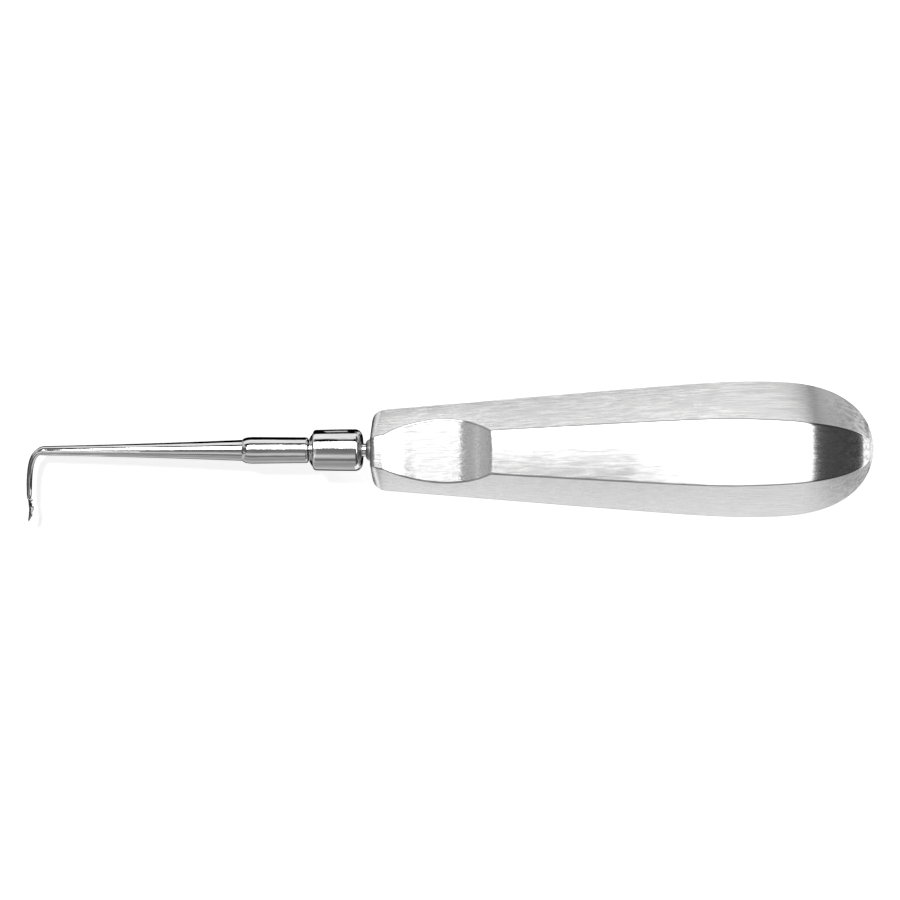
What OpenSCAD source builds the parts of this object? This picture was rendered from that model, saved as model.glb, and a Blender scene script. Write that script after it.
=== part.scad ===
// Hollow-handled dental elevator with a right-angled root pick.
// Every node is drawn along the tool axis, with x = 0 at the handle's nose and +x towards the butt,
// and is then laid down on the lower flat of the handle, which is the plane z = 0 of the part.

/* [Handle] */
// Length from the nose face to the butt
handle_length = 94.1; // [92:0.1:97]
// Width across the two weld seams at the widest station
handle_width = 25.6; // [24.6:0.2:27]
// Distance from the nose to the widest station
widest_x = 70.4; // [68:0.2:73]
// Slope of each side towards the nose, in plan
side_flare = 0.0845; // [0.075:0.0005:0.09]
// Thickness across the two flats, projected to the nose face
nose_thickness = 14.4; // [14:0.1:15]
// Angle that each flat makes with the tool axis
flat_angle = 2.7; // [2.4:0.1:3]
// Angle between a flat and the facets beside it
facet_angle = 56; // [54:0.5:58]
// How deep the rounding of the nose cuts into each face
nose_depth = 0.9; // [0.7:0.1:1.1]
// Height of the lip between nose and thumb rest, above the tool axis
lip_height = 7; // [6.8:0.1:7.2]
// Thickness of the pressed sheet
wall = 1.2; // [1:0.1:1.2]

/* [Thumb rest] */
// Distance from the nose to the deepest point of the thumb rest
scoop_x = 12.2; // [11.9:0.05:12.5]
// Radius of the thumb rest's front wall, seen from the side
scoop_front_radius = 18; // [17:0.5:19]
// Radius of its rear wall
scoop_rear_radius = 15.5; // [15:0.5:16.5]
// Height of the floor of the thumb rest above the tool axis
scoop_floor = 4; // [4:0.1:4.5]

/* [Shank] */
// Distance from the handle's nose to the centre line of the blade
blade_x = 65.55; // [62:0.05:68]
// Radius of the tapered shank where the bend begins
taper_tip_radius = 0.9; // [0.8:0.05:1]
// Radius of the tapered shank where it meets the barrel
taper_base_radius = 2; // [1.9:0.05:2.1]
// Radius of the barrel at its front
barrel_radius = 2.54; // [2.4:0.02:2.7]
// Distance from the nose to the foot of the barrel's rounded front
barrel_front = 24.6; // [23.8:0.1:25.5]
// Distance from the nose to the shoulder that the ferrule seats on
shoulder = 12.1; // [11.8:0.05:12.6]
// Distance from the tool axis to the end of the blade
blade_reach = 13.5; // [12.8:0.1:14]

/* [Ferrule] */
// Largest radius of the ferrule
ferrule_radius = 3.95; // [3.7:0.05:4.2]
// Gap between the ferrule and the nose, where the tang shows
ferrule_gap = 1.75; // [1.6:0.05:2]

/* [Tang and socket] */
// Radius of the bore that takes the tang
bore_radius = 1.25; // [1.15:0.05:1.4]
// Radial room left for the brazing metal
braze_room = 0.03; // [0.02:0.01:0.05]
// Length of the tang inside the handle
tang_length = 21; // [18:0.5:23]
// Outer radius of the tang socket
socket_radius = 4; // [3.8:0.05:4.1]
// Length of the tang socket
socket_length = 24; // [23.5:0.5:28]
// Half height of the socket between its two milled flats
socket_flat = 2.75; // [2.6:0.05:2.75]
// Radius of the cross pin
pin_radius = 0.5; // [0.4:0.05:0.55]
// Distance from the nose to the cross pin
pin_x = 17; // [15:0.5:17.5]

/* [Welds] */
// Half height of the weld along the seam
seam_half_height = 0.3; // [0.25:0.05:0.4]
// Depth of the weld along the seam
seam_depth = 0.6; // [0.5:0.05:0.7]
// Radius of the bead of brazing metal round the tang
bead_radius = 2.1; // [2:0.05:2.2]
// How far the bead stands out of the nose
bead_length = 1.2; // [1:0.05:1.55]

/* [Hidden] */
$fn = 96;

flare_softness = 0.68;         // how gently the flare rounds over at the widest station
cap_power = 2.94;              // the butt is a superellipse with these two powers
cap_root = 2.07;
cap_end_angle = 88;            // the butt ends in a tiny flat instead of a point
side_round = 2;                // how far the nose's rounding runs back along the facets
edge_round = 1.2;              // and along the lips
corner_depth = 1.3;            // the nose's corners are rounder beside the seam by this depth
corner_round = 2.4;            // and over this length
seam_land = 0.8;               // half height of the upright land inside the seam
socket_shoulder = wall + 0.4;  // where the socket's milled flats begin
chamfer = 0.4;                 // end chamfer on the tang and the pin
shell_room = 0.02;             // radial room between the nose opening and the socket
overcut = 1;                   // how far a cutting tool runs past what it cuts
flat_slope = tan(flat_angle);
facet_slope = tan(facet_angle);
rest_x = 47;                   // station of the origin, at the middle of the lower flat

// Points [x, y] of a round stretch about a centre, from one angle to another.
function arc(centre, radius, from, to, steps = 6) =
    [for (i = [0 : steps]) let (a = from + (to - from) * i / steps)
        centre + radius * [cos(a), sin(a)]];

// ---- Handle sections ----
// Each takes an inset, which is 0 on the outside and the wall's thickness in the cavity.
function cap(x, inset) = x <= widest_x ? 1 :
    let (u = min(1, (x - widest_x) / (handle_length - inset - widest_x)))
    pow(1 - pow(u, cap_power), 1 / cap_root);
function nose_cut(x, inset, depth, length) =
    let (d = max(0, 1 - (x - inset) / length))
    max(0, depth - inset) * (1 - sqrt(1 - min(1, d * d)));
function flare(x) = x >= widest_x ? handle_width / 2 :
    handle_width / 2 + flare_softness
    - sqrt(pow(flare_softness, 2) + pow(side_flare * (widest_x - x), 2));
function half_width(x, inset) =
    (flare(x) - inset / sin(facet_angle)) * cap(x, inset)
    - nose_cut(x, inset, nose_depth, side_round) / sin(facet_angle);
function seam_half_width(x, inset) =
    half_width(x, inset) - nose_cut(x, inset, corner_depth, corner_round);
function flat_height(x, inset) =
    (nose_thickness / 2 + flat_slope * x - inset) * cap(x, inset);
function scoop_height(x, inset) =
    let (r = x < scoop_x ? scoop_front_radius : scoop_rear_radius,
         d = min(abs(x - scoop_x), r))
    scoop_floor + r - sqrt(pow(r + inset, 2) - d * d);
function lip(x, inset) = x < scoop_x ? lip_height - inset : handle_width;
function top_height(x, inset) =
    min(flat_height(x, inset), scoop_height(x, inset), lip(x, inset))
    - nose_cut(x, inset, nose_depth, edge_round);
function top_half_width(x, inset) = half_width(x, inset) - top_height(x, inset) / facet_slope;

// Stations along the handle: the rounded nose, the thumb rest, the flats, and the butt.
function stations(inset) =
    let (last = handle_length - inset)
    concat(
        [for (a = [0 : 18 : 90]) inset + (side_round - inset) * (1 - cos(a))],
        [for (x = [side_round + 0.6 : 0.8 : 23]) x],
        [for (x = [24 : 6 : widest_x]) x],
        [for (a = [8 : 8 : cap_end_angle]) widest_x + (last - widest_x) * sin(a)]);

// Skins a list of rings, which all have the same number of points and turn the same way.
module loft(rings) {
    n = len(rings[0]);
    last = len(rings) - 1;
    polyhedron(
        points = [for (ring = rings) each ring],
        faces = concat(
            [for (j = [1 : n - 2]) [0, j, j + 1]],
            [for (j = [1 : n - 2]) [last * n, last * n + j + 1, last * n + j]],
            [for (i = [0 : last - 1], j = [0 : n - 1])
                let (a = i * n + j, b = i * n + (j + 1) % n) [a, b + n, b]],
            [for (i = [0 : last - 1], j = [0 : n - 1])
                let (a = i * n + j, b = i * n + (j + 1) % n) [a, a + n, b + n]]));
}

// Everything in the outer form of the handle above the seam plane.
module upper_half() {
    loft([for (x = stations(0))
        let (w = seam_half_width(x, 0), f = top_half_width(x, 0), h = top_height(x, 0))
        [[x, w, 0], [x, f, h], [x, -f, h], [x, -w, 0]]]);
}

// The sealed hollow inside both shells, with an upright land along each seam.
module cavity() {
    loft([for (x = stations(wall))
        let (h = top_height(x, wall), f = top_half_width(x, wall), g = min(seam_land, h / 2),
             w = seam_half_width(x, wall) - g / facet_slope)
        [[x, w, g], [x, f, h], [x, -f, h], [x, -w, g],
         [x, -w, -g], [x, -f, -h], [x, f, -h], [x, w, -g]]]);
}

// Plan outline of the handle, drawn in by an inset.
module plan(inset) {
    side = [for (x = stations(inset)) [x, seam_half_width(x, inset)]];
    polygon(concat(side, [for (i = [len(side) - 1 : -1 : 0]) [side[i].x, -side[i].y]]));
}

// The groove that the weld fills: everything round the seam that lies outside the inset outline.
module seam_groove() {
    linear_extrude(height = 2 * seam_half_height, center = true)
        difference() {
            translate([-overcut, -handle_width])
                square([handle_length + 2 * overcut, 2 * handle_width]);
            plan(seam_depth);
        }
}

module along_x() {
    rotate([0, 90, 0]) children();
}

module nose_opening() {
    along_x() translate([0, 0, -overcut])
        cylinder(r = socket_radius + shell_room, h = wall + 2 * overcut);
}

module shell() {
    difference() {
        upper_half();
        cavity();
        seam_groove();
        nose_opening();
    }
}

module upper_shell() {
    color([0.80, 0.80, 0.81]) shell();
}

module lower_shell() {
    color([0.80, 0.80, 0.81]) mirror([0, 0, 1]) shell();
}

module seam_weld() {
    color([0.72, 0.72, 0.73])
        difference() {
            intersection() {
                union() {
                    upper_half();
                    mirror([0, 0, 1]) upper_half();
                }
                seam_groove();
            }
            nose_opening();
        }
}

// ---- Turned pieces ----
// Their profiles are [radius, x], and along_x() turns them about the tool axis.
module turned(profile) {
    along_x() rotate_extrude() polygon(profile);
}

module tang_socket() {
    color([0.62, 0.62, 0.64])
        difference() {
            along_x() cylinder(r = socket_radius, h = socket_length);
            along_x() translate([0, 0, -overcut])
                cylinder(r = bore_radius, h = socket_length + 2 * overcut);
            for (side = [-1, 1])
                translate([socket_shoulder, -handle_width / 2,
                           side > 0 ? socket_flat : -socket_flat - handle_width])
                    cube([socket_length, handle_width, handle_width]);
            translate([pin_x, 0, 0]) rotate([90, 0, 0])
                cylinder(r = pin_radius, h = 3 * socket_radius, center = true);
        }
}

module tang_pin() {
    reach = sqrt(pow(socket_radius, 2) - pow(pin_radius, 2));
    r = pin_radius - braze_room / 2;
    color([0.55, 0.55, 0.57])
        translate([pin_x, 0, 0]) rotate([90, 0, 0])
            rotate_extrude() polygon([[0, -reach], [r - chamfer / 2, -reach], [r, chamfer / 2 - reach],
                                      [r, reach - chamfer / 2], [r - chamfer / 2, reach], [0, reach]]);
}

module braze_bead() {
    swell = bead_radius - bore_radius;
    color([0.70, 0.69, 0.66])
        turned(concat([[bore_radius, 0], [bore_radius, -bead_length]],
                      [for (a = [15 : 15 : 90]) [bore_radius + swell * sin(a), -bead_length * cos(a)]]));
}

module ferrule() {
    front = -shoulder;
    back = -ferrule_gap;
    front_round = 0.6;
    back_round = 1.4;
    front_radius = ferrule_radius - 0.1;
    front_dome = 0.9;    // how far each end stands proud of its rim
    back_dome = 0.1;
    rim = front_radius - front_round;
    back_rim = ferrule_radius - back_round;
    color([0.86, 0.86, 0.87])
        turned(concat(
            [[bore_radius, back], [bore_radius, front]],
            [for (v = [0.25 : 0.25 : 0.75])
                [bore_radius + (rim - bore_radius) * v, front + front_dome * v * v]],
            arc([rim, front + front_dome + front_round], front_round, -90, 0),
            [[ferrule_radius, (front + back) / 2]],
            arc([back_rim, back - back_dome - back_round], back_round, 0, 90)));
}

// Radius of the tapered shank: three fifths of its growth is straight and the rest gathers at its base.
function taper_radius(v) =
    taper_tip_radius + (taper_base_radius - taper_tip_radius) * (0.6 * v + 0.4 * v * v);

module shank() {
    tang_r = bore_radius - braze_room;
    taper_front = -(blade_x - 3.1);
    corner = 0.5;
    front_round = 2;       // length of the barrel's rounded front
    step = barrel_radius - taper_base_radius;
    barrel_back = barrel_radius - 0.1;
    difference() {
        turned(concat(
            [[0, tang_length], [tang_r - chamfer, tang_length], [tang_r, tang_length - chamfer],
             [tang_r, -shoulder]],
            arc([barrel_back - corner, -shoulder - corner], corner, 90, 0, 4),
            [for (a = [0 : 18 : 72])
                [taper_base_radius + step * cos(a), front_round * (1 - sin(a)) - barrel_front]],
            [for (v = [1 : -0.1 : 0]) [taper_radius(v), taper_front - v * (barrel_front + taper_front)]],
            [[0, taper_front]]));
        translate([pin_x, 0, 0]) rotate([90, 0, 0])
            cylinder(r = pin_radius, h = 3 * socket_radius, center = true);
    }
}

// ---- Blade ----
// The bend is one Bezier curve in plan, from the end of the taper to the straight of the blade.
bend = [[-blade_x + 3.1, 0], [-blade_x + 1.1, 0], [-blade_x + 0.15, -1.45], [-blade_x, -6.5]];
function bend_point(t) = pow(1 - t, 3) * bend[0] + 3 * t * pow(1 - t, 2) * bend[1]
    + 3 * t * t * (1 - t) * bend[2] + pow(t, 3) * bend[3];
function bend_way(t) = 3 * pow(1 - t, 2) * (bend[1] - bend[0])
    + 6 * t * (1 - t) * (bend[2] - bend[1]) + 3 * t * t * (bend[3] - bend[2]);

// Working end, from the bend to the point: distance from the end, then how far the outer and inner
// faces lie from the centre line, and half the width across the blade.
blade_end = [
    [5.0, -0.45, 0.40, 1.10], [4.6, -0.41, 0.32, 1.14], [4.35, -0.36, 0.20, 1.18],
    [3.9, -0.24, 0.50, 1.26], [3.4, -0.15, 0.30, 1.33], [2.8, -0.09, 0.55, 1.38],
    [2.0, -0.08, 0.62, 1.32], [1.3, -0.16, 0.44, 1.12], [0.7, -0.28, 0.25, 0.82],
    [0.3, -0.34, 0.14, 0.52], [0.0, -0.30, 0.02, 0.16]];
sides = 24;

// One ring of the blade: an oval whose half axes are along the way's left and along z.
function oval(centre, way, half_thickness, half_z) =
    let (u = way / norm(way), left = [-u.y, u.x])
    [for (i = [0 : sides - 1])
        let (a = 360 * i / sides, p = centre + left * half_thickness * cos(a))
        [p.x, p.y, half_z * sin(a)]];

module blade() {
    sunk = 0.4;          // the first ring lies this far inside the taper
    loft(concat(
        [oval([bend[0].x + sunk, 0], [-1, 0], taper_tip_radius - 0.02, taper_tip_radius - 0.02)],
        [for (t = [0 : 0.0625 : 1])
            let (thin = min(1, t / 0.35))
            oval(bend_point(t), bend_way(t),
                 (taper_tip_radius - 0.01) * (1 - thin) + (0.6 - 0.12 * t) * thin,
                 taper_tip_radius - 0.01 + 0.1 * t)],
        [for (row = blade_end)
            oval([-blade_x + (row[1] + row[2]) / 2, -blade_reach + row[0]], [0, -1],
                 (row[2] - row[1]) / 2, row[3])]));
}

module shank_and_blade() {
    color([0.78, 0.78, 0.80]) {
        shank();
        blade();
    }
}

// Lays a node down, so that the lower flat is the plane z = 0 and its middle is the origin.
module laid_down() {
    rotate([0, -flat_angle, 0])
        translate([-rest_x, 0, flat_height(rest_x, 0)])
            children();
}

laid_down() shank_and_blade();
laid_down() ferrule();
laid_down() braze_bead();
laid_down() tang_socket();
laid_down() tang_pin();
laid_down() upper_shell();
laid_down() lower_shell();
laid_down() seam_weld();
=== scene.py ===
import math

import bmesh
import bpy
import numpy as np
from mathutils import Matrix, Vector


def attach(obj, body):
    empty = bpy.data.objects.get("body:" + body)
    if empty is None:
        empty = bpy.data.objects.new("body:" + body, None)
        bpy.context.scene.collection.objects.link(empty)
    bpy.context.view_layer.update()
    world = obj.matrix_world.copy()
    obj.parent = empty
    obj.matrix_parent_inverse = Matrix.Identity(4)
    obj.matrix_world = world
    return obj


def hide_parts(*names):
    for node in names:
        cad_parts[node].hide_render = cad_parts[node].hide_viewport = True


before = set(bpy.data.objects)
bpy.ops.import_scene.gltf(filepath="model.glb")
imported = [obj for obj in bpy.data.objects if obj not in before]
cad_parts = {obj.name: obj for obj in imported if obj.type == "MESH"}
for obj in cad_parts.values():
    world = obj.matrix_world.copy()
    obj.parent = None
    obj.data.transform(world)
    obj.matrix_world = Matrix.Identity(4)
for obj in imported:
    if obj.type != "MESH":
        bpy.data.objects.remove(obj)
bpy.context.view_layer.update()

# Every shape is drawn along the tool axis in millimetres, with x = 0 at the handle's nose and +x towards
# the butt, and is then laid down on the handle's lower flat, as the CAD nodes are.
MM = 0.001

# Handle
LENGTH = 94.1
WIDTH = 25.6
WIDEST_X = 70.4
SIDE_FLARE = 0.0845
FLARE_SOFTNESS = 0.68
NOSE_THICKNESS = 14.4
FLAT_ANGLE = math.radians(2.7)
FACET_ANGLE = math.radians(56)
FLAT_SLOPE = math.tan(FLAT_ANGLE)
FACET_SLOPE = math.tan(FACET_ANGLE)
CAP_POWER = 2.94
CAP_ROOT = 2.07
WALL = 1.2
REST_X = 47

# Nose and thumb rest
NOSE_DEPTH = 0.9
SIDE_ROUND = 2.0
CORNER_DEPTH = 1.3
CORNER_ROUND = 2.4
EDGE_ROUND = 1.2
LIP_HEIGHT = 7.0
SCOOP_X = 12.2
SCOOP_FRONT_RADIUS = 18.0
SCOOP_REAR_RADIUS = 15.5
SCOOP_FLOOR = 4.0

# Edges that the polishing wheel has softened
CROWN_RADIUS = 42.0
CREASE = 0.12
EDGE = 0.2
SEAM_SOFTNESS = 0.15
FACET_CROWN = 0.1

# Weld and tang socket
SEAM_HALF_HEIGHT = 0.3
SEAM_DEPTH = 0.6
SEAM_END_HEIGHT = 0.02
OPENING_RADIUS = 4.02

# Shank
BLADE_X = 65.55
BLADE_REACH = 13.5
BARREL_RADIUS = 2.54
BARREL_FRONT = 24.6
BARREL_ROUND = 2.0
SHOULDER = 12.1
FERRULE_RADIUS = 3.95
FERRULE_GAP = 1.75
TAPER_TIP_RADIUS = 0.9
TAPER_BASE_RADIUS = 2.0
TANG_RADIUS = 1.22
TANG_LENGTH = 21.0
BORE_RADIUS = 1.25
BEAD_RADIUS = 2.1
BEAD_LENGTH = 1.2
BARREL_TAPER = 0.1
BEND_LENGTH = 3.1
TANG_CHAMFER = 0.4


# ---------------------------------------------------------------- shape helpers

AXIS_HEIGHT = NOSE_THICKNESS / 2 + FLAT_SLOPE * REST_X
LAID_DOWN = (Matrix.Scale(MM, 4) @ Matrix.Rotation(-FLAT_ANGLE, 4, "Y")
             @ Matrix.Translation((-REST_X, 0, AXIS_HEIGHT)))


def make_piece(name, points, faces, sharp_angle=35, wear=None):
    """A mesh object from points along the tool axis, laid down, cleaned and smooth-shaded."""
    mesh = bpy.data.meshes.new(name)
    mesh.from_pydata([LAID_DOWN @ Vector(p) for p in points], [], faces)
    if wear is not None:
        mesh.attributes.new("wear", "FLOAT", "POINT").data.foreach_set("value", wear)
    bm = bmesh.new()
    bm.from_mesh(mesh)
    bmesh.ops.remove_doubles(bm, verts=bm.verts, dist=2e-7)
    bmesh.ops.dissolve_degenerate(bm, dist=1e-7, edges=bm.edges)
    bmesh.ops.recalc_face_normals(bm, faces=bm.faces)
    bm.to_mesh(mesh)
    bm.free()
    mesh.shade_smooth()
    mesh.set_sharp_from_angle(angle=math.radians(sharp_angle))
    piece = bpy.data.objects.new(name, mesh)
    bpy.context.collection.objects.link(piece)
    return piece


def skin(rows, columns, loop_rows=False, loop_columns=False, start=0):
    """Quads over a grid of points that is stored row by row from index start."""
    faces = []
    for i in range(rows if loop_rows else rows - 1):
        for j in range(columns if loop_columns else columns - 1):
            a = start + i * columns + j
            b = start + i * columns + (j + 1) % columns
            c = start + ((i + 1) % rows) * columns + (j + 1) % columns
            d = start + ((i + 1) % rows) * columns + j
            faces.append((a, b, c, d))
    return faces


def arc(centre, radius, first, last, steps=8):
    """Points (x, radius) of a round stretch, by angle from the outward radial direction towards +x."""
    angles = np.radians(np.linspace(first, last, steps + 1))
    return [(centre[0] + radius * math.sin(a), centre[1] + radius * math.cos(a)) for a in angles]


def smooth_min(a, b, width):
    """The lower of two surfaces, with a crease of this width where they meet."""
    blend = np.clip(1 - np.abs(a - b) / width, 0, 1)
    return np.minimum(a, b) - blend ** 2 * width / 4


# ---------------------------------------------------------------- handle

def cap(x, inset=0.0):
    """How much of the section is left at x: 1 up to the widest station, then down to 0 at the butt."""
    u = np.clip((x - WIDEST_X) / (LENGTH - inset - WIDEST_X), 0, 1)
    return (1 - u ** CAP_POWER) ** (1 / CAP_ROOT)


def nose_cut(x, inset, depth, length):
    """How much a quarter ellipse at the nose takes off a surface."""
    d = np.clip(1 - (x - inset) / length, 0, 1)
    return max(0.0, depth - inset) * (1 - np.sqrt(1 - d * d))


def half_width(x, inset=0.0):
    reach = np.maximum(0, WIDEST_X - x)
    flare = WIDTH / 2 + FLARE_SOFTNESS - np.sqrt(FLARE_SOFTNESS ** 2 + (SIDE_FLARE * reach) ** 2)
    side = flare - inset / math.sin(FACET_ANGLE)
    return side * cap(x, inset) - nose_cut(x, inset, NOSE_DEPTH, SIDE_ROUND) / math.sin(FACET_ANGLE)


def top_height(x, y, inset=0.0):
    """Height of the flat, the thumb rest or the lip above the seam plane."""
    size = np.maximum(cap(x, inset), 1e-6)
    crown = (y / size) ** 2 / (2 * CROWN_RADIUS)
    flat = (NOSE_THICKNESS / 2 + FLAT_SLOPE * x - inset - crown) * size
    radius = np.where(x < SCOOP_X, SCOOP_FRONT_RADIUS, SCOOP_REAR_RADIUS)
    across = np.minimum(np.abs(x - SCOOP_X), 0.99 * radius)
    scoop = SCOOP_FLOOR + radius - np.sqrt((radius + inset) ** 2 - across ** 2)
    top = smooth_min(flat, scoop, CREASE)
    lip = np.where(x < SCOOP_X, LIP_HEIGHT - inset - crown, WIDTH)
    return smooth_min(top, lip, CREASE) - nose_cut(x, inset, NOSE_DEPTH, EDGE_ROUND)


def facet_y(x, z, inset=0.0):
    """Distance of a side facet from the tool axis at height z. The nose's corners are rounder low down."""
    corner = nose_cut(x, inset, CORNER_DEPTH, CORNER_ROUND) * np.clip(1 - z / LIP_HEIGHT, 0, 1)
    rise = np.sqrt(z * z + SEAM_SOFTNESS ** 2) - SEAM_SOFTNESS
    return half_width(x, inset) - corner - rise / FACET_SLOPE


def edge_height(x, inset=0.0):
    """Height of the edge between a side facet and the top."""
    z = top_height(x, 0 * x, inset)
    for _ in range(12):
        z = (z + top_height(x, facet_y(x, z, inset), inset)) / 2
    return z


def seam_height(x, inset=0.0):
    """Half the height of the weld, less where the butt closes."""
    return np.minimum(SEAM_HALF_HEIGHT, edge_height(x, inset) / 4)


# How far along each stretch of the half section its columns stand
FACET_STEPS = (0, 0.03, 0.1, 0.2, 0.35, 0.5, 0.65, 0.8, 0.92, 0.98, 1)
ROUND_STEPS = (0.12, 0.25, 0.38, 0.5, 0.62, 0.75, 0.88)
FLAT_STEPS = (0, 0.02, 0.08, 0.2, 0.35, 0.5, 0.65, 0.8, 0.92, 1)


def half_section(x, inset=0.0):
    """Columns (y, z) over stations x, from the seam on the +Y side to the middle of the top."""
    top_z = edge_height(x, inset)
    edge_y = facet_y(x, top_z, inset)
    low_z = seam_height(x, inset)
    soften = EDGE * np.minimum(1, cap(x, inset) * 2)
    high_z = np.maximum(top_z - soften * math.sin(FACET_ANGLE), (low_z + top_z) / 2)
    columns = [(facet_y(x, 0 * x, inset), 0 * x), (facet_y(x, low_z / 2, inset), low_z / 2)]
    for t in FACET_STEPS:
        z = low_z + (high_z - low_z) * t
        bulge = FACET_CROWN * 4 * t * (1 - t) * np.minimum(1, cap(x, inset))
        columns.append((facet_y(x, z, inset) + bulge, z))
    start_y, start_z = columns[-1]
    end_y = np.maximum(edge_y - soften, edge_y / 2)
    end_z = top_height(x, end_y, inset)
    for t in ROUND_STEPS:
        a, b, c = (1 - t) ** 2, 2 * t * (1 - t), t * t
        columns.append((a * start_y + b * edge_y + c * end_y, a * start_z + b * top_z + c * end_z))
    for t in FLAT_STEPS:
        y = end_y * (1 - t)
        columns.append((y, top_height(x, y, inset)))
    return columns


def stations():
    """Stations along the handle, close together where the surface turns."""
    lip_end, scoop_edge, scoop_end = 3.4, 21.4, 23.2
    fine, medium, coarse = 0.07, 0.45, 1.8
    nose = SIDE_ROUND * (1 - np.cos(np.radians(np.arange(0, 90, 5))))
    lip = np.arange(SIDE_ROUND, lip_end, fine)
    scoop = np.arange(lip_end, scoop_edge, medium)
    edge = np.arange(scoop_edge, scoop_end, fine)
    body = np.arange(scoop_end, WIDEST_X, coarse)
    butt = WIDEST_X + (LENGTH - WIDEST_X) * np.sin(np.radians(np.arange(0, 90, 1.5)))
    return np.concatenate([nose, lip, scoop, edge, body, butt, [LENGTH]])


def section_grid(x, inset=0.0):
    """Points of the upper surface: one row a station, from the seam on +Y over the top to -Y."""
    columns = half_section(x, inset)
    side = np.stack([np.stack([x, y, z], axis=1) for y, z in columns], axis=1)
    other = side[:, -2::-1] * np.array([1, -1, 1])
    return np.concatenate([side, other], axis=1)


def inset_stations(x, inset):
    """The same stations, drawn in from both ends for a surface that lies inside."""
    return inset + x * (LENGTH - 2 * inset) / LENGTH


def shell_points():
    """Rows of a closed shell: outside from butt to nose, round the nose opening, and back inside."""
    x = stations()
    outer = section_grid(x)
    groove_x = inset_stations(x, SEAM_DEPTH)
    groove_y = facet_y(groove_x, 0 * groove_x, SEAM_DEPTH)
    for column, side in ((0, 1), (1, 1), (-1, -1), (-2, -1)):
        z = seam_height(x) if column in (1, -2) else 0 * x
        outer[:, column] = np.stack([groove_x, side * groove_y, z], axis=1)
    inner = section_grid(inset_stations(x, WALL), WALL)
    angle = np.arctan2(outer[0, :, 2], outer[0, :, 1])
    angle[[1, 2]] = math.asin(SEAM_HALF_HEIGHT / OPENING_RADIUS)
    angle[[-2, -3]] = math.pi - angle[1]
    ring = OPENING_RADIUS * np.stack([np.cos(angle), np.sin(angle)], axis=1)
    mouth = np.column_stack([outer[0, :, 0], ring])
    throat = np.column_stack([np.full(len(ring), WALL), ring])
    return np.concatenate([outer[::-1], [mouth, throat], inner])


def edge_wear(rows, columns):
    """1 on the rounded edges beside the top, where polishing has taken the brushing off, else 0. The satin
    steel also darkens its colour there as painted shade.
    """
    first = 2 + len(FACET_STEPS) - 1
    column = np.zeros(columns)
    column[first:first + len(ROUND_STEPS) + 2] = 1
    return np.tile(np.maximum(column, column[::-1]), rows)


def handle_shell(name, side):
    """One half of the handle: side is 1 for the upper one and -1 for the lower."""
    grid = shell_points()
    rows, columns = grid.shape[:2]
    faces = skin(rows, columns)
    last_outer = rows // 2 - 2
    for edge in (0, columns - 1):
        pairs = [(i, rows - 1 - i) for i in range(last_outer + 2)]
        for (a, b), (c, d) in zip(pairs, pairs[1:]):
            faces.append(tuple(row * columns + edge for row in (a, c, d, b)))
    points = grid.reshape(-1, 3) * np.array([1, 1, side])
    return make_piece(name, points, faces, wear=edge_wear(rows, columns))


def seam_weld(name):
    """The band of weld metal that fills the groove round the seam."""
    x = stations()
    low = np.maximum(seam_height(x), SEAM_END_HEIGHT)
    groove_x = inset_stations(x, SEAM_DEPTH)
    groove_y = facet_y(groove_x, 0 * groove_x, SEAM_DEPTH)
    heights = (1, 0.66, 0.33, 0, -0.33, -0.66, -1)
    ring = [np.stack([x, facet_y(x, low * h), low * h], axis=1) for h in heights]
    ring += [np.stack([groove_x, groove_y, low * h], axis=1) for h in (-1, 1)]
    side = np.stack(ring, axis=1)
    front = side[:1].copy()
    front[:, :, 1] = math.sqrt(OPENING_RADIUS ** 2 - SEAM_HALF_HEIGHT ** 2)
    side = np.concatenate([front, side])
    grid = np.concatenate([side, side[-2::-1] * np.array([1, -1, 1])])
    rows, columns = grid.shape[:2]
    faces = skin(rows, columns, loop_columns=True)
    faces.append(tuple(range(columns)))
    faces.append(tuple((rows - 1) * columns + j for j in range(columns)))
    return make_piece(name, grid.reshape(-1, 3), faces)


# ---------------------------------------------------------------- turned pieces

def turned(name, profile, hollow=False, sides=128, wobble=None):
    """A profile of (x, radius) turned about the tool axis. A hollow one closes on itself."""
    angles = np.linspace(0, 2 * math.pi, sides, endpoint=False)
    grid = []
    for x, radius in profile:
        r = radius * (1 + (wobble(x, angles) if wobble else 0))
        grid.append(np.stack([x + 0 * angles, r * np.cos(angles), r * np.sin(angles)], axis=1))
    grid = np.array(grid)
    faces = skin(len(profile), sides, loop_rows=hollow, loop_columns=True)
    if not hollow:
        faces.append(tuple(range(sides)))
        faces.append(tuple((len(profile) - 1) * sides + j for j in range(sides)))
    return make_piece(name, grid.reshape(-1, 3), faces)


def ferrule(name):
    """A collar with a domed front face, a tight front edge and a fuller one at the back."""
    front, back = -SHOULDER, -FERRULE_GAP
    front_round, back_round = 0.6, 1.4
    front_taper = 0.1
    front_radius = FERRULE_RADIUS - front_taper
    front_dome, back_dome = 0.9, 0.1
    rim = front_radius - front_round
    back_rim = FERRULE_RADIUS - back_round
    dome = [(front + front_dome * v * v, BORE_RADIUS + (rim - BORE_RADIUS) * v)
            for v in np.linspace(0, 1, 9)[:-1]]
    start = (front + front_dome + front_round, front_radius)
    end = (back - back_dome - back_round, FERRULE_RADIUS)
    body = [(start[0] + (end[0] - start[0]) * v,
             start[1] + (end[1] - start[1]) * math.sin(v * math.pi / 2))
            for v in np.linspace(0, 1, 15)[1:-1]]
    tail = [(back - back_dome * (1 - v) ** 2, back_rim + (BORE_RADIUS - back_rim) * v)
            for v in np.linspace(0, 1, 7)[1:]]
    return turned(name, dome + arc((start[0], rim), front_round, -90, 0) + body
                  + arc((end[0], back_rim), back_round, 0, 90, 12) + tail, hollow=True)


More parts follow.
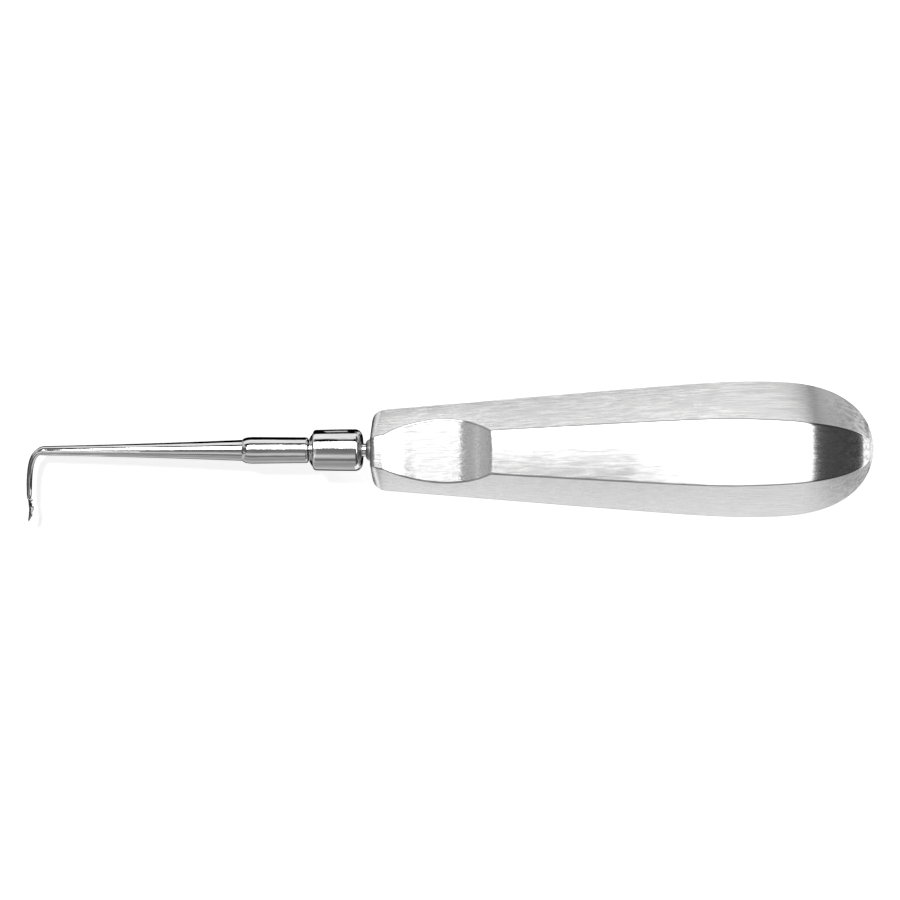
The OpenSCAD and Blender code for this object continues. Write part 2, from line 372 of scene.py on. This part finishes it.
def braze_bead(name):
    """The bead round the tang, a quarter ellipse in section and slightly uneven."""
    def ripple(x, angles):
        return 0.012 * np.sin(5 * angles + 1.3) + 0.008 * np.sin(11 * angles)

    profile = [(0, BORE_RADIUS), (-BEAD_LENGTH, BORE_RADIUS)]
    profile += [(-BEAD_LENGTH * math.cos(a), BORE_RADIUS + (BEAD_RADIUS - BORE_RADIUS) * math.sin(a))
                for a in np.radians(np.arange(8, 90, 8))]
    profile.append((0, BEAD_RADIUS))
    return turned(name, profile, hollow=True, sides=96, wobble=ripple)


# ---------------------------------------------------------------- shank and blade

# Centre line of the bend from the taper into the blade
BEND = np.array([
    [-BLADE_X + BEND_LENGTH, 0], [-BLADE_X + 1.1, 0], [-BLADE_X + 0.15, -1.45], [-BLADE_X, -6.5]])
# Working end: distance from the end, then how far the outer and inner faces lie from the centre line,
# half the width across the blade, and how far the rims of the cup stand forward.
BLADE_END = (
    (5.6, -0.47, 0.43, 1.05, 0.0), (5.0, -0.45, 0.36, 1.10, 0.04), (4.7, -0.42, 0.22, 1.13, 0.12),
    (4.45, -0.37, 0.02, 1.17, 0.22), (4.2, -0.30, -0.02, 1.22, 0.50), (3.9, -0.24, 0.02, 1.26, 0.56),
    (3.6, -0.19, 0.02, 1.30, 0.40), (3.3, -0.16, 0.02, 1.34, 0.26), (3.0, -0.12, 0.04, 1.37, 0.48),
    (2.6, -0.09, 0.06, 1.38, 0.58), (2.2, -0.08, 0.08, 1.35, 0.56), (1.9, -0.09, 0.08, 1.30, 0.36),
    (1.6, -0.12, 0.05, 1.22, 0.26), (1.3, -0.16, 0.02, 1.12, 0.40), (1.0, -0.22, -0.02, 0.98, 0.38),
    (0.7, -0.28, -0.06, 0.80, 0.28), (0.4, -0.32, -0.09, 0.58, 0.16), (0.2, -0.33, -0.12, 0.38, 0.08),
    (0.05, -0.31, -0.15, 0.18, 0.02), (0.0, -0.25, -0.20, 0.05, 0.0))
SIDES = 48
# The bend is down to the blade's thickness from this share of its length on. From start to end of the
# bend that half thickness shrinks and the half width grows a little.
FLATTENED_BY = 0.35
BLADE_THICK = 0.62
BLADE_THINNING = 0.13
BLADE_WIDENING = 0.1


def taper_radius(v):
    """Radius of the taper from the bend, where v is 0, to the barrel, where it is 1."""
    return TAPER_TIP_RADIUS + (TAPER_BASE_RADIUS - TAPER_TIP_RADIUS) * (0.6 * v + 0.4 * v * v)


def oval(centre, way, half_thickness, half_z, arch=0.0):
    """A ring across the blade. Its rims can stand forward of its middle, which makes it a gouge."""
    way = np.array(way) / np.linalg.norm(way)
    left = np.array([-way[1], way[0]])
    angles = np.linspace(0, 2 * math.pi, SIDES, endpoint=False)
    across = half_thickness * np.cos(angles) + arch * np.sin(angles) ** 2
    place = np.array(centre) + across[:, None] * left
    return np.column_stack([place, half_z * np.sin(angles)])


def bend_rings():
    """Rings along the bend, which flattens from the taper's round into the blade's oval."""
    rings = []
    for t in np.linspace(0, 1, 41)[1:]:
        weights = np.array([(1 - t) ** 3, 3 * t * (1 - t) ** 2, 3 * t * t * (1 - t), t ** 3])
        slopes = np.array([-(1 - t) ** 2, (1 - t) * (1 - 3 * t), t * (2 - 3 * t), t * t])
        thin = min(1, t / FLATTENED_BY)
        thin = thin * thin * (3 - 2 * thin)
        half_thickness = TAPER_TIP_RADIUS * (1 - thin) + (BLADE_THICK - BLADE_THINNING * t) * thin
        half_z = TAPER_TIP_RADIUS + BLADE_WIDENING * t
        rings.append(oval(weights @ BEND, slopes @ BEND, half_thickness, half_z))
    return rings


def shank_and_blade(name):
    """One forging from the tang's end to the blade's tip."""
    taper_front = -(BLADE_X - BEND_LENGTH)
    corner = 0.5
    tang_centre = 0.01
    fillet_length, fillet_height = 0.02, 0.05
    barrel_back = BARREL_RADIUS - BARREL_TAPER
    profile = [(TANG_LENGTH, tang_centre), (TANG_LENGTH, TANG_RADIUS - TANG_CHAMFER),
               (TANG_LENGTH - TANG_CHAMFER, TANG_RADIUS),
               (-SHOULDER + fillet_length, TANG_RADIUS), (-SHOULDER, TANG_RADIUS + fillet_height)]
    profile += arc((-SHOULDER - corner, barrel_back - corner), corner, 90, 0)
    barrel_start, barrel_end = -SHOULDER - corner, BARREL_ROUND - BARREL_FRONT
    profile += [(barrel_start + (barrel_end - barrel_start) * v, barrel_back + BARREL_TAPER * v)
                for v in (0.1, 0.3, 0.5, 0.7, 0.9)]
    profile += [(-BARREL_FRONT + BARREL_ROUND * (1 - math.sin(a)),
                 TAPER_BASE_RADIUS + (BARREL_RADIUS - TAPER_BASE_RADIUS) * math.cos(a))
                for a in np.radians(np.arange(0, 90, 9))]
    profile += [(taper_front - v * (BARREL_FRONT + taper_front), taper_radius(v))
                for v in np.linspace(1, 0, 40)]
    rings = [oval((x, 0), (-1, 0), r, r) for x, r in profile] + bend_rings()
    for along, outer, inner, half_z, arch in BLADE_END:
        rings.append(oval((-BLADE_X + (outer + inner) / 2, -BLADE_REACH + along), (0, -1),
                          (inner - outer) / 2, half_z, arch))
    faces = skin(len(rings), SIDES, loop_columns=True)
    faces.append(tuple(range(SIDES)))
    faces.append(tuple((len(rings) - 1) * SIDES + j for j in range(SIDES)))
    return make_piece(name, np.concatenate(rings), faces, sharp_angle=50)


# ---------------------------------------------------------------- materials

# How far the brushing leans a surface along the tool
LEAN = 0.014


class Nodes:
    """Adds shader nodes to a material or world and links them."""

    def __init__(self, owner):
        owner.use_nodes = True
        self.tree = owner.node_tree
        self.tree.nodes.clear()

    def add(self, kind, inputs=None, **settings):
        """A new node. Inputs that are sockets are linked, and other inputs are values."""
        node = self.tree.nodes.new(kind)
        for key, value in settings.items():
            setattr(node, key, value)
        for key, value in (inputs or {}).items():
            if isinstance(value, bpy.types.NodeSocket):
                self.tree.links.new(value, node.inputs[key])
            else:
                node.inputs[key].default_value = value
        return node

    def math(self, operation, a, b=0.0):
        return self.add("ShaderNodeMath", {0: a, 1: b}, operation=operation).outputs[0]

    def ramp(self, value, low, high, out_low=0.0, out_high=1.0):
        """Maps low..high to out_low..out_high, and holds the ends."""
        node = self.add("ShaderNodeMapRange", {"Value": value, "From Min": low, "From Max": high,
                                               "To Min": out_low, "To Max": out_high}, clamp=True)
        return node.outputs["Result"]

    def place(self, scale, tilt=0.0):
        """Object coordinates, turned by tilt about the tool axis's upright and scaled per axis."""
        where = self.add("ShaderNodeTexCoord").outputs["Object"]
        turn = (0, FLAT_ANGLE, tilt)
        node = self.add("ShaderNodeMapping", {"Vector": where, "Rotation": turn, "Scale": scale})
        return node.outputs["Vector"]

    def noise(self, scale, detail=2.0, tilt=0.0):
        """Noise with this many features a metre along the tool, across it and upright."""
        node = self.add("ShaderNodeTexNoise", {"Vector": self.place(scale, tilt), "Scale": 1.0,
                                               "Detail": detail, "Roughness": 0.6})
        return node.outputs["Fac"]


def satin_steel(name, base, roughness, streak, tilt=0.0):
    """Steel brushed along the tool: sharp reflections along it, wide ones across, burnished edges. Its
    colour holds painted shade along the burnished edges and at the nose's front edge, and is mottled
    darker towards the butt.
    """
    material = bpy.data.materials.new(name)
    n = Nodes(material)
    fine = n.noise((110, 5200, 5200), 3, tilt)
    coarse = n.noise((80, 2800, 2800), 2, -tilt)
    nick = n.noise((260, 3600, 3600), 2, tilt)
    worn_and_shaded = n.add("ShaderNodeAttribute", attribute_name="wear").outputs["Fac"]
    fresh = n.math("SUBTRACT", 1.0, worn_and_shaded)
    scratches = n.math("ADD", n.math("MULTIPLY", fine, 0.7), n.math("MULTIPLY", nick, 0.3))
    grain = n.math("ADD", n.math("MULTIPLY", scratches, 0.6), n.math("MULTIPLY", coarse, 0.4))
    along, across = n.add("ShaderNodeSeparateXYZ", {0: n.place((1, 1, 1))}).outputs[:2]
    near_butt = n.ramp(along, 0.036, 0.045, 0, 0.5)
    mottle = n.math("MULTIPLY", n.ramp(n.noise((700, 1100, 1100), 4), 0.4, 0.65), near_butt)
    # Painted shade: a darker rim across the nose's front edge, fullest over its middle.
    nose = -REST_X * MM
    painted_nose_shade = n.ramp(along, 0.0007 + nose, 0.0011 + nose, 0.6, 0)
    mid_nose = n.ramp(n.math("ABSOLUTE", across), 0.0026, 0.0032, 1, 0.3)
    painted_nose_shade = n.math("MULTIPLY", painted_nose_shade, mid_nose)
    # Painted shade: the colour darkens by up to 40% along the burnished edges and by up to 60% in the rim
    # at the nose; near the butt it is also mottled darker.
    painted_shade_and_mottle = n.math("MAXIMUM", n.math("MULTIPLY", worn_and_shaded, 0.4), n.math("MAXIMUM", mottle, painted_nose_shade))
    clean = n.ramp(grain, 0.3, 0.7, base * (1 - streak), min(1, base * (1 + streak)))
    shade = n.math("MULTIPLY", clean, n.math("SUBTRACT", 1.0, painted_shade_and_mottle))
    tint = n.add("ShaderNodeCombineColor", {"Red": shade, "Green": shade, "Blue": shade}).outputs[0]
    brushed = n.ramp(coarse, 0.35, 0.65, roughness - 0.02, roughness + 0.02)
    rough = n.add("ShaderNodeMix", {"Factor": worn_and_shaded, "A": brushed, "B": 0.1}).outputs["Result"]
    normal = n.add("ShaderNodeNewGeometry").outputs["Normal"]
    lean = n.math("MULTIPLY", n.ramp(nick, 0.3, 0.7, -LEAN, LEAN), fresh)
    push = n.add("ShaderNodeCombineXYZ", {"X": lean}).outputs[0]
    leaned = n.add("ShaderNodeVectorMath", {0: normal, 1: push}, operation="ADD").outputs[0]
    leaned = n.add("ShaderNodeVectorMath", {0: leaned}, operation="NORMALIZE").outputs[0]
    bump = n.add("ShaderNodeBump", {"Height": scratches, "Strength": n.math("MULTIPLY", fresh, 0.5),
                                    "Distance": 0.00002, "Normal": leaned}).outputs[0]
    brush_way = n.add("ShaderNodeCombineXYZ", {"X": 1.0}).outputs[0]
    shader = n.add("ShaderNodeBsdfPrincipled", {
        "Base Color": tint, "Metallic": 1.0, "Roughness": rough, "Anisotropic": 1.0,
        "Anisotropic Rotation": 0.25, "Tangent": brush_way, "Normal": bump})
    n.add("ShaderNodeOutputMaterial", {"Surface": shader.outputs[0]})
    return material


def polished_steel(name, base, roughness):
    """Mirror-polished steel with faint buffing lines round the turned surface."""
    material = bpy.data.materials.new(name)
    n = Nodes(material)
    wipe = n.noise((160, 1400, 1400), 3)
    rings = n.noise((2600, 200, 200), 2)
    cloud = n.noise((300, 500, 500), 3)
    shade = n.ramp(wipe, 0.3, 0.7, base * 0.88, min(1, base * 1.08))
    tint = n.add("ShaderNodeCombineColor", {"Red": shade, "Green": shade, "Blue": shade}).outputs[0]
    rough = n.math("ADD", n.ramp(cloud, 0.3, 0.7, roughness * 0.6, roughness * 1.5),
                   n.ramp(rings, 0.5, 0.75, 0, 0.015))
    height = n.math("ADD", n.math("MULTIPLY", wipe, 0.7), n.math("MULTIPLY", cloud, 0.5))
    bump = n.add("ShaderNodeBump", {"Height": height, "Strength": 0.6, "Distance": 0.00003}).outputs[0]
    shader = n.add("ShaderNodeBsdfPrincipled", {
        "Base Color": tint, "Metallic": 1.0, "Roughness": rough, "Normal": bump})
    n.add("ShaderNodeOutputMaterial", {"Surface": shader.outputs[0]})
    return material


def turned_steel(name, base, roughness):
    """Lathe-turned steel with fine circular tool marks about the tool axis."""
    material = bpy.data.materials.new(name)
    n = Nodes(material)
    marks = n.noise((9000, 60, 60), 2)
    cloud = n.noise((400, 400, 400), 3)
    shade = n.ramp(marks, 0.35, 0.65, base * 0.85, base * 1.1)
    tint = n.add("ShaderNodeCombineColor", {"Red": shade, "Green": shade, "Blue": shade}).outputs[0]
    rough = n.ramp(cloud, 0.3, 0.7, roughness - 0.06, roughness + 0.06)
    bump = n.add("ShaderNodeBump", {"Height": marks, "Strength": 0.4, "Distance": 0.00002}).outputs[0]
    shader = n.add("ShaderNodeBsdfPrincipled", {
        "Base Color": tint, "Metallic": 1.0, "Roughness": rough, "Normal": bump})
    n.add("ShaderNodeOutputMaterial", {"Surface": shader.outputs[0]})
    return material


def braze_metal(name):
    """Silver brazing metal: a smooth, faintly warm bead with flow ripples. Its colour is kept a dark grey
    as painted shade.
    """
    material = bpy.data.materials.new(name)
    n = Nodes(material)
    flow = n.noise((900, 900, 900), 3)
    # Painted shade: the bead's colour is kept dark grey, well below the steel's.
    tint = n.add("ShaderNodeMix", {"Factor": n.ramp(flow, 0.3, 0.7), "A": (0.26, 0.255, 0.245, 1),
                                   "B": (0.40, 0.395, 0.38, 1)}, data_type="RGBA")
    bump = n.add("ShaderNodeBump", {"Height": flow, "Strength": 0.4, "Distance": 0.00005}).outputs[0]
    shader = n.add("ShaderNodeBsdfPrincipled", {
        "Base Color": tint.outputs["Result"], "Metallic": 1.0,
        "Roughness": n.ramp(flow, 0.3, 0.7, 0.34, 0.46), "Normal": bump})
    n.add("ShaderNodeOutputMaterial", {"Surface": shader.outputs[0]})
    return material


def paint(piece, material):
    """Gives a piece this material and no other."""
    piece.data.materials.clear()
    piece.data.materials.append(material)


# ---------------------------------------------------------------- stage, light and camera

FLOOR_SIZE = 2.0
# The table's own glow: low where the shank's shadow shows, and full under the handle and far away
FLOOR_GLOW = 0.85
FULL_GLOW = 1.05
BACKDROP = 1.0
# Brightness of the studio round the tool axis, by degrees from straight up: +90 is level towards +Y.
# Lower than level the steel looks through the table, at this studio and at the cards on the table.
ROUND_THE_AXIS = (
    (-180, 0.0), (-142, 0.0), (-133, 0.6), (-119, 0.62), (-101, 0.42), (-81, 0.34), (-65, 0.46),
    (-57, 0.19), (-47, 0.19), (-40, 0.66), (-27, 0.72), (-18, 0.27), (0, 0.18), (13, 0.2), (48, 0.2),
    (49, 0.0), (67, 0.0), (71, 0.95), (106, 1.0), (109, 0.0), (180, 0.0))
# Brightness of the two ends of the studio: at eye level, off to the sides, and below level
PLUS_END = 0.075
PLUS_TABLE = 0.02
PLUS_TABLE_SIDES = 0.6
MINUS_END = 0.12
MINUS_SIDES = 0.62
MINUS_TABLE = 0.03


def floor():
    """A pale table. The camera sees it nearly white, with a breath of shadow near the shank only."""
    size = FLOOR_SIZE
    mesh = bpy.data.meshes.new("floor")
    corners = [(-size, -size, 0), (size, -size, 0), (size, size, 0), (-size, size, 0)]
    mesh.from_pydata(corners, [], [(0, 1, 2, 3)])
    plane = bpy.data.objects.new("floor", mesh)
    bpy.context.collection.objects.link(plane)
    material = bpy.data.materials.new("pale_table")
    n = Nodes(material)
    diffuse = n.add("ShaderNodeBsdfDiffuse", {"Color": (0.8, 0.8, 0.8, 1)}).outputs[0]
    where = n.add("ShaderNodeTexCoord").outputs["Object"]
    along = n.add("ShaderNodeSeparateXYZ", {0: where}).outputs[0]
    away = n.add("ShaderNodeVectorMath", {0: where}, operation="LENGTH").outputs["Value"]
    by_handle = n.ramp(along, -0.055, -0.03, FLOOR_GLOW, FULL_GLOW)
    level = n.math("MAXIMUM", by_handle, n.ramp(away, 0.16, 0.2, 0, FULL_GLOW))
    glow = n.add("ShaderNodeEmission", {"Color": (1, 1, 1, 1), "Strength": level}).outputs[0]
    seen = n.add("ShaderNodeAddShader", {0: diffuse, 1: glow}).outputs[0]
    clear = n.add("ShaderNodeBsdfTransparent").outputs[0]
    glossy = n.add("ShaderNodeLightPath").outputs["Is Glossy Ray"]
    mixed = n.add("ShaderNodeMixShader", {0: glossy, 1: seen, 2: clear}).outputs[0]
    n.add("ShaderNodeOutputMaterial", {"Surface": mixed})
    paint(plane, material)


def studio():
    """The room that the steel reflects: bands round the tool axis and two dark ends."""
    world = bpy.data.worlds.new("studio")
    bpy.context.scene.world = world
    n = Nodes(world)
    way = n.add("ShaderNodeTexCoord").outputs["Generated"]
    x, y, z = n.add("ShaderNodeSeparateXYZ", {0: way}).outputs
    turn = n.ramp(n.math("ARCTAN2", y, z), -math.pi, math.pi)
    ramp = n.add("ShaderNodeValToRGB", {"Fac": turn})
    ramp.color_ramp.interpolation = "LINEAR"
    stops = ramp.color_ramp.elements
    while len(stops) < len(ROUND_THE_AXIS):
        stops.new(0.5)
    for stop, (angle, grey) in zip(stops, ROUND_THE_AXIS):
        stop.position = angle / 360 + 0.5
        stop.color = (grey, grey, grey, 1)
    aside = n.math("ABSOLUTE", y)
    table = n.ramp(aside, 0.12, 0.3, PLUS_TABLE, PLUS_TABLE_SIDES)
    below_level = n.ramp(z, -0.06, 0.0, 1, 0)
    plus = n.add("ShaderNodeMix", {"Factor": below_level, "A": PLUS_END, "B": table}).outputs["Result"]
    straight = n.ramp(z, -0.1, 0.2, MINUS_TABLE, MINUS_END)
    off_side = n.ramp(aside, 0.35, 0.5)
    minus = n.add("ShaderNodeMix", {"Factor": off_side, "A": straight, "B": MINUS_SIDES}).outputs["Result"]
    which_end = n.ramp(x, -0.05, 0.05)
    end = n.add("ShaderNodeMix", {"Factor": which_end, "A": minus, "B": plus}).outputs["Result"]
    to_plus = n.ramp(x, 0.3, 0.36)
    to_minus = n.ramp(n.math("ADD", x, n.math("MULTIPLY", aside, 0.25)), -0.45, -0.35, 1, 0)
    endness = n.math("MAXIMUM", to_plus, to_minus)
    bands = ramp.outputs["Color"]
    room = n.add("ShaderNodeMix", {"Factor": endness, "A": bands, "B": end}).outputs["Result"]
    path = n.add("ShaderNodeLightPath").outputs
    off_table = n.math("MULTIPLY", room, n.math("SUBTRACT", 1.0, path["Is Diffuse Ray"]))
    seen = n.add("ShaderNodeMix", {"Factor": path["Is Camera Ray"], "A": off_table, "B": BACKDROP})
    seen = seen.outputs["Result"]
    back = n.add("ShaderNodeBackground", {"Color": seen, "Strength": 1.0})
    n.add("ShaderNodeOutputWorld", {"Surface": back.outputs[0]})


def panel(name, centre, size, radiance, aim=None, spread=180, in_steel=True, on_table=True):
    """A flat softbox. Its radiance is what a mirror would show of it, if its spread is 180 degrees."""
    light = bpy.data.lights.new(name, "AREA")
    light.shape = "RECTANGLE"
    light.size, light.size_y = size
    light.energy = radiance * math.pi * size[0] * size[1]
    light.spread = math.radians(spread)
    lamp = bpy.data.objects.new(name, light)
    lamp.location = centre
    if aim is not None:
        lamp.rotation_euler = (Vector(aim) - Vector(centre)).to_track_quat("-Z", "Y").to_euler()
    lamp.visible_camera = False
    lamp.visible_glossy = in_steel
    lamp.visible_diffuse = on_table
    bpy.context.collection.objects.link(lamp)
    return lamp


# What the steel sees and the table doesn't: name, centre, size, radiance, aim and spread. A panel without
# an aim faces straight down.
SOFTBOXES = (
    ("overhead_softbox", (-0.0400, 0.1040, 0.15), (0.224, 0.128), 6.9, None, 180),
    ("near_softbox", (0.0270, 0.0, 0.045), (0.030, 0.06), 1.3, None, 180),
    ("near_softbox_edge", (0.0080, 0.0, 0.045), (0.008, 0.06), 0.7, None, 180),
    ("near_softbox_fringe", (0.0010, 0.0, 0.045), (0.006, 0.06), 0.3, None, 180),
    ("scoop_front_card", (-0.005, 0.0, 0.043), (0.05, 0.034), 0.35, (-0.042, 0, 0.012), 40),
    ("scoop_rear_card", (-0.0662, 0.0, 0.040), (0.036, 0.052), 0.34, (0.0338, 0, 0.0576), 180),
    ("collar_card", (-0.0565, 0.054, 0.035), (0.0105, 0.014), 0.27, (-0.0565, 0, 0.035), 180),
    ("blade_card", (-0.121, -0.0145, 0.055), (0.03, 0.005), 2.0, None, 180))
# Cards that lie on the table and face up: x, y, length, width and radiance
CARD_HEIGHT = 0.0005
TABLE_CARDS = (
    (0.0125, 0.0415, 0.125, 0.057, 0.16),
    (0.0010, -0.0415, 0.102, 0.057, 0.60),
    (0.0595, 0.0, 0.021, 0.012, 1.05),
    (0.1350, 0.0, 0.130, 0.060, 1.3),
    (-0.0550, 0.0130, 0.0045, 0.0045, 0.65),
    (-0.1055, -0.0088, 0.010, 0.0016, 0.90),
    (-0.1055, -0.0116, 0.010, 0.0016, 0.90))


def light_the_scene():
    """The softboxes and cards that the steel mirrors, and the one lamp that makes the shadow."""
    for name, centre, size, radiance, aim, spread in SOFTBOXES:
        panel(name, centre, size, radiance, aim, spread, on_table=False)
    for x, y, length, width, radiance in TABLE_CARDS:
        panel("table_card", (x, y, CARD_HEIGHT), (length, width), radiance, (x, y, 1), on_table=False)
    for side in (-1, 1):
        panel("nose_card", (-0.0550, side * 0.0190, CARD_HEIGHT), (0.010, 0.012), 0.05,
              (-0.0465, side * 0.0065, 0.009), 30, on_table=False)
    panel("shadow_lamp", (-0.53, 0.66, 1.6), (0.20, 0.20), 76.0, (-0.03, 0, 0), in_steel=False)


def camera():
    """Straight above the tool, a little towards +Y, at the distance that gives the view's perspective."""
    data = bpy.data.cameras.new("camera")
    data.lens = 100
    data.clip_start = 0.01
    view = bpy.data.objects.new("camera", data)
    target = Vector((-32.70, 0.04, 9.0)) * MM
    place = target + Vector((0, 30, 470)) * MM
    roll = math.radians(-0.30)
    view.location = place
    back = (place - target).normalized()
    up = back.cross(Vector((math.cos(roll), math.sin(roll), 0)))
    look = Matrix((up.cross(back), up, back)).transposed()
    view.rotation_euler = look.to_euler()
    bpy.context.collection.objects.link(view)
    bpy.context.scene.camera = view


# ---------------------------------------------------------------- the scene

camera()
studio()
floor()
light_the_scene()

satin = satin_steel("satin_steel", 0.8, 0.26, 0.2, math.radians(5))
weld = satin_steel("weld_steel", 0.7, 0.4, 0.2)
mirror = polished_steel("polished_steel", 0.78, 0.04)
ferrule_steel = polished_steel("ferrule_steel", 0.78, 0.07)
lathe = turned_steel("turned_steel", 0.5, 0.3)

pieces = (
    (handle_shell("handle_upper", 1), "upper_shell", "satin_steel", satin),
    (handle_shell("handle_lower", -1), "lower_shell", "satin_steel", satin),
    (seam_weld("handle_seam"), "seam_weld", "weld_steel", weld),
    (shank_and_blade("shank"), "shank_and_blade", "polished_steel", mirror),
    (ferrule("collar"), "ferrule", "ferrule_steel", ferrule_steel),
    (braze_bead("bead"), "braze_bead", "braze", braze_metal("braze")),
)
for piece, node, slot, material in pieces:
    paint(piece, material)
    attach(piece, "root")
    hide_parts(node)
for node in ("tang_socket", "tang_pin"):
    paint(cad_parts[node], lathe)

scene = bpy.context.scene
scene.view_settings.view_transform = "Standard"
scene.view_settings.look = "None"
